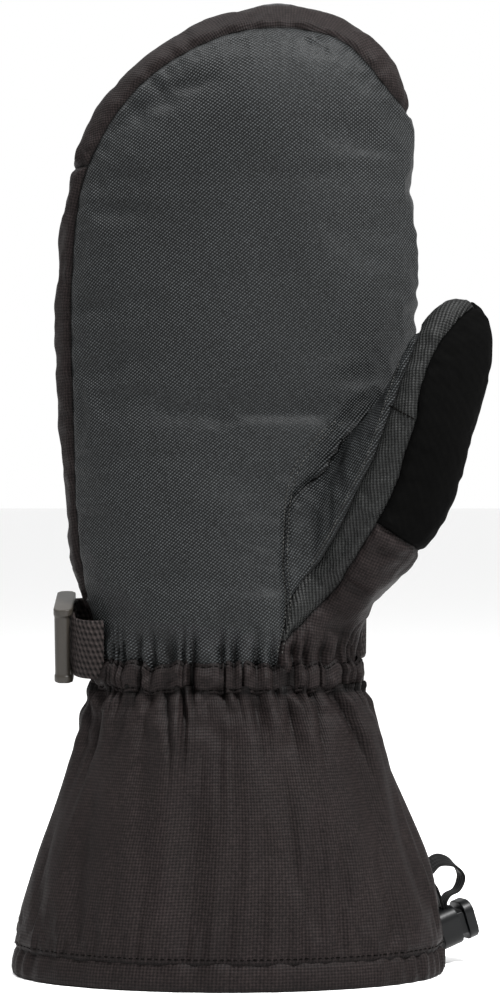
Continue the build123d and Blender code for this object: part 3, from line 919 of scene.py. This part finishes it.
# ---------------------------------------------------------------- hand and thumb panels
panels = split_panels(filled(hand_and_thumb()))
palm = sewn(panels["palm"], "palm", M["palm"], 0.3)
back = sewn(panels["back"], "back_of_hand", M["nylon"], 0.35)
tip = sewn(panels["tip"], "fingertip_rim", M["nylon"], 0.35)
wipe = sewn(panels["wipe"], "thumb_wipe", M["suede"], 0.15)
base = sewn(panels["base"], "thumb_base", M["nylon"], 0.3, BASE_FOLDS)
strip = sewn(panels["strip"], "thumb_strip", M["strip"], 0.25)
inner = sewn(panels["inner"], "thumb_inner", M["palm"], 0.25, INNER_FOLDS)

INNER_NODES = ["thumb_inner_panel", "thumb_gusset", "thumb_insulation", "thumb_root_insulation"]
for piece, nodes, slot in (
    (palm, ["palm_panel", "palm_insulation", "waterproof_insert"], "coated_twill"),
    (back, ["back_hand_panel", "back_insulation"], "nylon"),
    (tip, ["fingertip_panel"], "nylon"),
    (wipe, ["thumb_wipe_panel", "thumb_wipe_panel_root", "waterproof_insert_thumb"], "microfibre"),
    (base, ["thumb_base_panel"], "nylon"),
    (strip, ["thumb_palm_strip", "thumb_palm_strip_root"], "coated_twill"),
    (inner, INNER_NODES, "coated_twill"),
):
    if piece in (palm, back, tip):
        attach(piece, "mitten")
    else:
        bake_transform(piece)
    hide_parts(*nodes)


# ---------------------------------------------------------------- gauntlet, hem and wrist casing
def ring_grid(name, rows, material, inwards=False, painted_shade_rows=None):
    """A cloth surface through rings of points, with a UV map in millimetres and, when given, rows of painted shade
    for its material.
    """
    count = len(rows[0])
    verts, faces = tube(rows, False)
    if inwards:
        faces = [f[::-1] for f in faces]
    obj = new_object(name, verts, faces, material)
    seam = count // 4  # the map's cut, at the back
    girth = sum(np.linalg.norm(np.roll(rows[0], -1, 0) - rows[0], axis=1))
    layer = obj.data.uv_layers.new(name="cloth")
    climb = [0.0]
    for a, b in zip(rows, rows[1:]):
        climb.append(climb[-1] + float(np.median(np.linalg.norm(b - a, axis=1))))
    uv = []
    for face in faces:
        cols = [((v % count) - seam) % count for v in face]
        wraps = max(cols) - min(cols) > count / 2
        for v, c in zip(face, cols):
            if wraps and c == 0:
                c = count
            uv += [c / count * girth, climb[v // count]]
    layer.data.foreach_set("uv", uv)
    if painted_shade_rows is not None:
        painted_crease_shade(obj.data, np.concatenate(painted_shade_rows))
    return obj


def gauntlet_folds(turn, heights):
    """How far the gauntlet's fullness pushes its cloth out, from a cloth simulation on a coarse grid."""
    columns, levels = 160, 44
    coarse_turn = whole_turn(columns)
    coarse_heights = np.linspace(9.0, 107.5, levels)
    rows = []
    for height, section in zip(coarse_heights, level_sections(GAUNTLET, coarse_heights)):
        start = 1.0 * wander(coarse_turn, 8, 24, 71) * np.clip((height - 40) / 60, 0, 1)
        rows.append(ring(section, height, coarse_turn, start))
    verts, faces = tube(rows, False)
    obj = new_object("coarse_gauntlet", verts, faces)
    height = verts[:, 2]
    pins = np.maximum(np.clip((13 - height) / 4, 0, 1), np.clip((height - 103) / 4, 0, 1))
    _, moved = simulate(obj, pins, pressure=0.6, spare=0.05, most=5.0, frames=26)
    bpy.data.objects.remove(obj)
    out = np.stack([np.cos(coarse_turn) / 60, np.sin(coarse_turn) / 38], 1)
    out /= np.linalg.norm(out, axis=1)[:, None]
    push = np.einsum("rci,ci->rc", moved.reshape(levels, columns, 3)[:, :, :2], out)
    wrapped = np.concatenate([push, push[:, :1]], 1)
    wrapped_turn = np.linspace(-math.pi, math.pi, columns + 1)
    across = np.array([np.interp(turn, wrapped_turn, row) for row in wrapped])
    return np.array([np.interp(heights, coarse_heights, column) for column in across.T]).T


def gauntlet():
    """The gauntlet's outer cloth, gathered at the wrist, and the row that the hem's stitches follow."""
    turn = whole_turn(800)
    heights = np.concatenate([np.linspace(9.4, 76, 60, endpoint=False), np.linspace(76, 107.5, 62)])
    folds = np.zeros((len(heights), len(turn)))
    folds = gauntlet_folds(turn, heights)
    wide = wander(turn, 5, 13, 21)
    slant = wander(turn, 4, 15, 77)
    rows, painted_shade_rows = [], []
    for height, section, fold in zip(heights, level_sections(GAUNTLET, heights), folds):
        drop = max(0.0, 106 - height)  # how far below the wrist
        bent = turn + 0.0035 * drop * slant
        fine = pleats(bent, WRIST_PLEATS, 3)
        middle = pleats(bent, WRIST_PLEATS // 2, 9)
        outset = (2.9 * fine - 1.6) * bell(drop, 6.5)
        outset += (4.4 * middle - 2.6) * bell(drop, 22) * (1 - math.exp(-(drop / 4)))
        outset += 1.9 * wide * bell(drop - 18, 22) + 1.3 * fold
        if height < 12:
            outset = outset - 0.9 * bell(height - HEM_SEAM_Z, 1.0)
        points = ring(section, height, turn, outset)
        settled = np.clip((height - 6) / 20, 0.25, 1)
        lean = 0.9 * rumple(points * (1, 1, 0.45), 24.0, 31) * np.clip(drop / 20, 0, 1) * settled
        lean += 0.75 * rumple(points, 4.5, 33) * bell(drop, 17)
        rows.append(ring(section, height, turn, outset + lean))
        # Painted shade: darker colour in the pleat valleys, where the gauntlet meets the wrist casing and along the
        # hem's seam line.
        dark = bell(fine, 0.3) * bell(drop, 5.5) + 0.6 * bell(middle, 0.3) * bell(drop, 19)
        painted_shade_rows.append(0.8 * (dark + bell(drop - 0.5, 1.2)) + bell(height - HEM_SEAM_Z, 0.7))
    stitched = rows[int(np.argmax(heights > 10.8))]
    return ring_grid("gauntlet_cloth", rows, M["nylon"], painted_shade_rows=painted_shade_rows), stitched


# The hem's outline from inside the cuff round to the outside: (height, distance outside the gauntlet)
HEM_PROFILE = [
    (12.5, -3.6), (9.0, -4.2), (5.0, -4.5), (1.6, -4.3), (0.4, -3.6), (0.0, -2.2), (0.05, -0.9), (0.7, 0.0),
    (2.2, 0.4), (5.0, 0.35), (8.4, -0.1), (9.6, -0.7), (10.2, -1.2),
]


def hem():
    """The folded hem that the mitten stands on."""
    turn = whole_turn(540)
    drawn_in = bell(turn + 0.3, 0.4) + 0.5 * bell(turn + 2.9, 0.3)
    wavy = 0.35 * wander(turn, 14, 46, 41) + 0.7 * drawn_in * wander(turn, 40, 60, 43)
    rows = []
    for height, outset in HEM_PROFILE:
        section = level_sections(GAUNTLET, [height])[0]
        rows.append(ring(section, height, turn, outset + wavy * (0.3 + 0.7 * min(1, height / 6))))
    return ring_grid("hem", rows, M["nylon"])


def casing():
    """The stitched casing across the wrist, drawn up by the elastic inside it, and its rows of points."""
    turn = whole_turn(900)
    folds = pleats(turn, 23, 17, 1.3)
    small = pleats(turn, WRIST_PLEATS, 3)
    crease = bell(folds, 0.16)
    rise = 0.9 * wander(turn, 6, 30, 23) + 1.6 * (small - 0.6)
    section = ((BAND[0] + BAND[1]) / 2, BAND[2], (BAND[1] - BAND[0]) / 2, BAND[3])
    rows, painted_shade_rows = [], []
    for share in np.linspace(0, 1, 30):
        bulge = 1.3 * math.sin(math.pi * share) ** 0.5
        height = BAND_LOW - 0.8 + share * (BAND_HIGH - BAND_LOW + 0.6) + rise * (0.45 + 0.55 * share)
        edge = 1 - math.sin(math.pi * share) ** 0.5
        seam = bell(share - 0.14, 0.05) + bell(share - 0.9, 0.05)
        outset = 1.0 + bulge * (1 - 0.6 * crease) - 1.9 * crease + 1.5 * (small - 0.6) - edge - 0.45 * seam
        points = ring(section, height, turn, outset)
        rows.append(ring(section, height, turn, outset + 0.45 * rumple(points, 3.2, 29)))
        # Painted shade: darker colour in the fold valleys, towards the casing's edges, along its seam lines and
        # between the small pleats.
        painted_shade_rows.append(0.9 * crease + 0.7 * edge**2 + 0.35 * seam + 0.3 * (small < 0.3))
    return ring_grid("wrist_casing", rows, M["nylon"], painted_shade_rows=painted_shade_rows), rows


def cuff_lining():
    """The gauntlet's lining, seen through the cuff's mouth."""
    turn = whole_turn(240)
    heights = np.linspace(8.0, 104.0, 50)
    rows = []
    for height, section in zip(heights, level_sections(GAUNTLET, heights)):
        fold = 0.7 * rumple(ring(section, height, turn, -4.4) * (1, 1, 0.4), 16.0, 51)
        rows.append(ring(section, height, turn, -4.6 + fold))
    return ring_grid("cuff_lining", rows, M["lining"], inwards=True)


def fleece_lining():
    """The lining of the hand compartment, closed at the fingertips."""
    turn = whole_turn(200)
    heights = list(np.linspace(98, 116, 8)) + list(np.linspace(124, HAND_TOP, 60)) + finger_end(6, 88, 18)
    rows = []
    for height, section in zip(heights, hand_sections(heights)):
        inset = -min(9.0, 0.8 * min(section[2], section[3]))
        fold = 0.5 * rumple(ring(section, height, turn, inset), 9.0, 61)
        rows.append(ring(section, height, turn, inset + fold))
    return ring_grid("fleece_lining", rows, M["fleece"], inwards=True)


cuff, hem_row = gauntlet()
hem_piece = hem()
wrist, casing_rows = casing()
cuff_inside = cuff_lining()
fleece = fleece_lining()
for piece, nodes, slot in (
    (cuff, ["gauntlet_front_panel", "gauntlet_back_panel"], "nylon"),
    (hem_piece, ["hem_channel", "hem_draw_tape"], "nylon"),
    (wrist, ["wrist_band", "wrist_elastic"], "nylon"),
    (cuff_inside, ["gauntlet_lining"], "lining_cloth"),
    (fleece, ["hand_lining", "thumb_root_lining", "thumb_lining"], "fleece"),
):
    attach(piece, "mitten")
    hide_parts(*nodes)


# ---------------------------------------------------------------- straps, buckle, cord lock
STRAP_Z = 122.5
STRAP_RISE = math.radians(13)
STRAP_OVAL = (-62.4, 47.6, 3.4, 33.8)
STRAP_WIDTH = 22.0
STRAP_THICK = 1.4
PIVOT_BAR = (-67.9, 16.8)
PIVOT_BAR_RADIUS = 1.9
LOOP_GAP = 0.3
# The adjusting strap's way over the buckle's bars and back to the palm's seam, in the strap's plane
ADJUSTING_ROUTE = [
    (-65.0, 8.6), (-68.0, 9.0), (-70.6, 7.4), (-70.8, 5.4), (-70.4, 3.2), (-67.6, 2.0), (-65.4, 0.4),
    (-65.0, -3.0), (-64.6, -7.0), (-62.4, -10.4), (-58.5, -12.2), (-53.5, -12.0),
]
STRAP_X = np.array((1.0, 0, 0))
STRAP_Y = np.array((0, math.cos(STRAP_RISE), math.sin(STRAP_RISE)))
STRAP_UP = np.array((0, -math.sin(STRAP_RISE), math.cos(STRAP_RISE)))


def smooth_path(points, spacing):
    """Points along a smooth curve through some points, evenly spaced."""
    points = np.array(points, float)
    keys = run_of(points)
    fine = through(keys, points, np.linspace(0, keys[-1], 400))
    run = run_of(fine)
    places = np.linspace(0, run[-1], max(4, int(run[-1] / spacing)))
    return np.stack([np.interp(places, run, fine[:, i]) for i in range(3)], 1), run[-1]


def ribbon(name, points, across, width, thick, material, spacing=0.8):
    """A flat woven strap along a path. across is the direction of its width: one, or one for each point."""
    path, length = smooth_path(points, spacing)
    tangents = np.gradient(path, axis=0)
    tangents /= np.linalg.norm(tangents, axis=1)[:, None]
    across = np.atleast_2d(np.array(across, float))
    if len(across) == 1:
        across = np.repeat(across, len(path), 0)
    else:
        across = through(np.linspace(0, 1, len(across)), across, np.linspace(0, 1, len(path)))
    shape = [(w * width / 2, thick / 2 * min(1.0, (1 - abs(w)) * 9 + 0.45)) for w in np.linspace(-1, 1, 17)]
    outline = shape + [(w, -h) for w, h in shape[::-1]]
    rows, profile = [], [0.0]
    for (w0, h0), (w1, h1) in zip(outline, outline[1:] + outline[:1]):
        profile.append(profile[-1] + math.hypot(w1 - w0, h1 - h0))
    for point, tangent, side in zip(path, tangents, across):
        side = side - tangent * (side @ tangent)
        side /= np.linalg.norm(side)
        up = np.cross(tangent, side)
        rows.append(np.array([point + side * w + up * h for w, h in outline]))
    verts, faces = tube(rows, True)
    obj = new_object(name, verts, faces, material)
    layer = obj.data.uv_layers.new(name="cloth")
    uv = []
    for face in faces:
        for v in face:
            row, col = divmod(v, len(outline))
            uv += [profile[col], row * length / len(path)]
    layer.data.foreach_set("uv", uv)
    return obj


def strap_point(x, y):
    """A point of the strap's tilted plane."""
    return np.array((0, 0, STRAP_Z)) + STRAP_X * x + STRAP_Y * y


def oval_point(degrees, outset):
    """A point on the strap's way round the wrist, in the strap's tilted plane."""
    left, right, middle_y, depth = STRAP_OVAL
    turn = math.radians(degrees)
    x = (left + right) / 2 + ((right - left) / 2 + outset) * math.cos(turn)
    y = middle_y + (depth + outset) * math.sin(turn)
    return np.array((x, y, STRAP_Z + (y / math.cos(STRAP_RISE)) * math.sin(STRAP_RISE)))


def strap_pieces():
    """The wrist strap, its loop round the buckle and the adjusting strap."""
    half = STRAP_THICK / 2
    strap = (STRAP_UP, STRAP_WIDTH, STRAP_THICK, M["webbing"])
    points = [oval_point(17, -9.0), oval_point(19, -5.0), oval_point(21.5, -1.8)]  # sewn into the cloth
    points += [oval_point(a, half) for a in range(25, 133, 6)]
    main = ribbon("wrist_webbing", points, *strap)
    radius = PIVOT_BAR_RADIUS + LOOP_GAP + half
    points = [oval_point(a, STRAP_THICK * 1.5 + LOOP_GAP) for a in (112, 118, 124)]
    for turn in np.radians(range(70, 400, 40)):
        x, y = PIVOT_BAR[0] + radius * math.cos(turn), PIVOT_BAR[1] + radius * math.sin(turn)
        points.append(strap_point(x, y))
    loop = ribbon("buckle_webbing", points, *strap, spacing=0.5)
    end = ribbon("adjusting_webbing", [strap_point(x, y) for x, y in ADJUSTING_ROUTE], *strap, spacing=0.5)
    return main, loop, end


def moulded_copy(name, node_name, material, voxel, rounds):
    """A CAD solid with the soft edges of a moulding."""
    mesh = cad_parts[node_name].data.copy()
    mesh.name = name
    obj = bpy.data.objects.new(name, mesh)
    bpy.context.scene.collection.objects.link(obj)
    softened(obj, voxel, rounds)
    obj.data.materials.clear()
    obj.data.materials.append(material)
    obj.data.shade_smooth()
    return obj


def surface_of(*objects):
    """A search tree over some pieces, in millimetres."""
    verts, faces = [], []
    for obj in objects:
        start = len(verts)
        verts.extend(Vector(v) for v in coordinates(obj.data))
        faces.extend([start + i for i in p.vertices] for p in obj.data.polygons)
    return BVHTree.FromPolygons(verts, faces)


def laid_on(surface, line, low, high, beside):
    """Points on a surface and its normals along a seam line as seen from the front, from height low to high,
    shifted beside it to the right by that much."""
    eye = Vector((0, -EYE_DISTANCE, EYE_HEIGHT))
    line = np.array(line, float)
    keys = run_of(line)
    path = through(keys, line, np.linspace(0, keys[-1], 500))
    way = np.gradient(path, axis=0)
    way /= np.linalg.norm(way, axis=1)[:, None]
    path = path + beside * np.stack([way[:, 1], -way[:, 0]], 1)
    points, out = [], []
    for x, z in path[(path[:, 1] > low) & (path[:, 1] < high)]:
        where, normal, _, _ = surface.ray_cast(eye, (Vector((x, 0, z)) - eye).normalized())
        if where is not None:
            points.append(where[:])
            out.append(normal[:] if normal.y < 0 else (-normal)[:])
    return np.array(points), np.array(out)


def stitches(name, runs, material, length=1.5, gap=0.8, radius=0.2):
    """Sewn threads: one small rounded rod for each stitch along runs of (points, normals)."""
    verts, faces = [], []
    turn = whole_turn(6, 0)
    shape = [(-0.5, 0.3, -0.4), (-0.38, 0.9, 0.3), (0.0, 1.0, 0.7), (0.38, 0.9, 0.3), (0.5, 0.3, -0.4)]
    for points, out in runs:
        run = run_of(points)
        for start in np.arange(gap, run[-1] - length, length + gap):
            rows = []
            for place, thickness, lift in shape:
                at = start + (place + 0.5) * length
                middle = np.array([np.interp(at, run, points[:, i]) for i in range(3)])
                normal = np.array([np.interp(at, run, out[:, i]) for i in range(3)])
                normal /= np.linalg.norm(normal)
                ahead = np.array([np.interp(at + 0.3, run, points[:, i]) for i in range(3)]) - middle
                side = np.cross(ahead, normal)
                side /= np.linalg.norm(side) + 1e-9
                circle = np.outer(np.cos(turn), side) + np.outer(np.sin(turn), normal)
                rows.append(middle + normal * lift * radius + radius * thickness * circle)
            made, sides = tube(rows, True)
            faces.extend(tuple(len(verts) + i for i in face) for face in sides)
            verts.extend(made)
    obj = new_object(name, verts, faces, material)
    layer = obj.data.uv_layers.new(name="cloth")
    places = np.array(verts)[[i for face in faces for i in face]]
    layer.data.foreach_set("uv", (places[:, [0, 2]] + places[:, [1, 1]]).ravel())
    return obj


def round_run(row):
    """A closed ring of points and its outward normals, as one run for stitches."""
    points = np.concatenate([row, row[:1]])
    way = np.gradient(points, axis=0)
    out = np.cross(way, (0, 0, 1))
    return points, out / np.linalg.norm(out, axis=1)[:, None]


front_cloth = surface_of(palm, strip, inner, base, wipe)
crotch_runs = [laid_on(front_cloth, CROTCH_SEAM, 117, 204, side) for side in (-0.9, 0.9)]
middle_runs = [laid_on(front_cloth, MIDDLE_SEAM, 150, 226, -1.1)]
cross_runs = [laid_on(front_cloth, CROSS_SEAM, 0, 400, 0.0)]
welt = stitches("crotch_stitches", crotch_runs, M["thread"], 0.9, 0.7, 0.22)
topstitch = stitches("thumb_topstitch", middle_runs, M["thread"], 0.9, 0.5, 0.2)
cross_seam = stitches("strip_seam", cross_runs, M["dark_thread"], 1.6, 0.1, 0.3)
casing_runs = [round_run(casing_rows[4]), round_run(casing_rows[26])]
wrist_stitches = stitches("casing_stitches", casing_runs, M["dark_thread"], 1.7, 0.7, 0.24)
for piece in (welt, topstitch, cross_seam):
    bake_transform(piece)
hem_stitches = stitches("hem_stitches", [round_run(hem_row)], M["dark_thread"], 1.6, 0.9, 0.24)
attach(wrist_stitches, "mitten")
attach(hem_stitches, "mitten")

main_strap, loop_strap, end_strap = strap_pieces()
buckle = moulded_copy("ladder_lock", "wrist_buckle", M["buckle"], 0.35, 5)
lock_body = moulded_copy("cord_lock", "cord_lock_body", M["lock"], 0.3, 5)
lock_button = moulded_copy("cord_lock_press", "cord_lock_button", M["lock"], 0.3, 5)

LOCK_AT = np.array((69.4, 18.0, 12.5))
LOCK_TURN, LOCK_TILT = math.radians(25), math.radians(18)
LOCK_LEVEL = np.array((math.cos(LOCK_TURN), math.sin(LOCK_TURN), 0))
LOCK_AXIS = math.cos(LOCK_TILT) * LOCK_LEVEL + math.sin(LOCK_TILT) * np.array((0, 0, 1))
LOCK_SIDE = np.array((-math.sin(LOCK_TURN), math.cos(LOCK_TURN), 0))
LOCK_UP = np.cross(LOCK_AXIS, LOCK_SIDE)
# The pull loop's way: (along the lock's axis, height over it, degrees that the tape is twisted)
PULL_LOOP = [
    (5.15, 6, 0), (5.15, 8.5, 0), (4.9, 15.2, 15), (4.0, 22.1, 40), (8.7, 24.9, 55), (14.7, 21.8, 45),
    (17, 15.6, 25), (13.5, 11.5, 10), (9, 10.9, 0), (6.45, 8.5, 0), (6.45, 6, 0),
]
# Held off its body by a little, so that the two mouldings don't cut into each other when it is pressed
set_coordinates(lock_button.data, coordinates(lock_button.data) + 0.35 * LOCK_AXIS)
loop_points = [LOCK_AT + LOCK_AXIS * a + LOCK_UP * h for a, h, _ in PULL_LOOP]
twists = np.radians([row[2] for row in PULL_LOOP])
tape_across = [LOCK_SIDE * math.cos(a) + LOCK_UP * math.sin(a) for a in twists]
pull = ribbon("pull_tape", loop_points, tape_across, 5.6, 1.0, M["tape"], spacing=0.5)
TAB_Z = 4.5
tab_points = ring(level_sections(GAUNTLET, [TAB_Z])[0], TAB_Z, np.radians(range(4, 46, 3)), 1.2)
tab = ribbon("lock_webbing", tab_points, (0, 0, 1), 7.0, 1.2, M["webbing"])
for piece, body, nodes, slot in (
    (main_strap, "mitten", ["wrist_strap"], "webbing"),
    (loop_strap, "mitten", ["buckle_loop"], "webbing"),
    (buckle, "buckle", ["wrist_buckle"], "buckle_plastic"),
    (lock_body, "mitten", ["cord_lock_body"], "lock_plastic"),
    (lock_button, "lock_button", ["cord_lock_button"], "lock_plastic"),
    (pull, "mitten", ["pull_loop"], "tape"),
    (tab, "mitten", ["lock_tab"], "webbing"),
):
    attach(piece, body)
    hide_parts(*nodes)
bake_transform(end_strap)
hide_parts("adjusting_strap_end", "adjusting_strap_root")
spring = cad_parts["cord_lock_spring"]
spring.data.materials.clear()
spring.data.materials.append(M["steel"])


# ---------------------------------------------------------------- floor, light, camera
def lamp(name, place, size, power, middle):
    """A round area light that points at the middle of the mitten."""
    light = bpy.data.lights.new(name, "AREA")
    light.shape = "DISK"
    light.size = size
    light.energy = power
    holder = bpy.data.objects.new(name, light)
    holder.location = place
    holder.rotation_euler = (middle - Vector(place)).to_track_quat("-Z", "Y").to_euler()
    bpy.context.scene.collection.objects.link(holder)


def stage():
    """A plain pale floor, soft light and the camera."""
    pale = bpy.data.materials.new("floor")
    pale.use_nodes = True
    pale.node_tree.nodes["Principled BSDF"].inputs["Base Color"].default_value = (0.9, 0.9, 0.9, 1)
    pale.node_tree.nodes["Principled BSDF"].inputs["Roughness"].default_value = 0.9
    corners = [(-FAR, -FAR, 0), (FAR, -FAR, 0), (FAR, FAR, 0), (-FAR, FAR, 0)]
    floor = new_object("floor", corners, [(0, 1, 2, 3)], pale)
    world = bpy.data.worlds.new("studio")
    world.use_nodes = True
    world.node_tree.nodes["Background"].inputs[0].default_value = (1, 1, 1, 1)
    world.node_tree.nodes["Background"].inputs[1].default_value = 1.0
    bpy.context.scene.world = world
    middle = Vector((0, 0, 0.18))
    lamp("key", (0.45, -0.55, 1.1), 0.3, 37.0, middle)
    lamp("side", (1.3, -0.25, 0.7), 0.4, 1.5, middle)
    lamp("top", (-0.5, 0.1, 1.5), 0.5, 16.0, middle)
    camera = bpy.data.cameras.new("camera")
    camera.sensor_fit = "VERTICAL"
    camera.sensor_height = 36.0
    camera.sensor_width = 36.0
    camera.lens = 36.0 * EYE_DISTANCE / 370.0
    holder = bpy.data.objects.new("camera", camera)
    holder.location = (0, -EYE_DISTANCE * MM, EYE_HEIGHT * MM)
    holder.rotation_euler = (math.pi / 2, 0, 0)
    bpy.context.scene.collection.objects.link(holder)
    bpy.context.scene.camera = holder
    bpy.context.scene.view_settings.view_transform = "Standard"


stage()
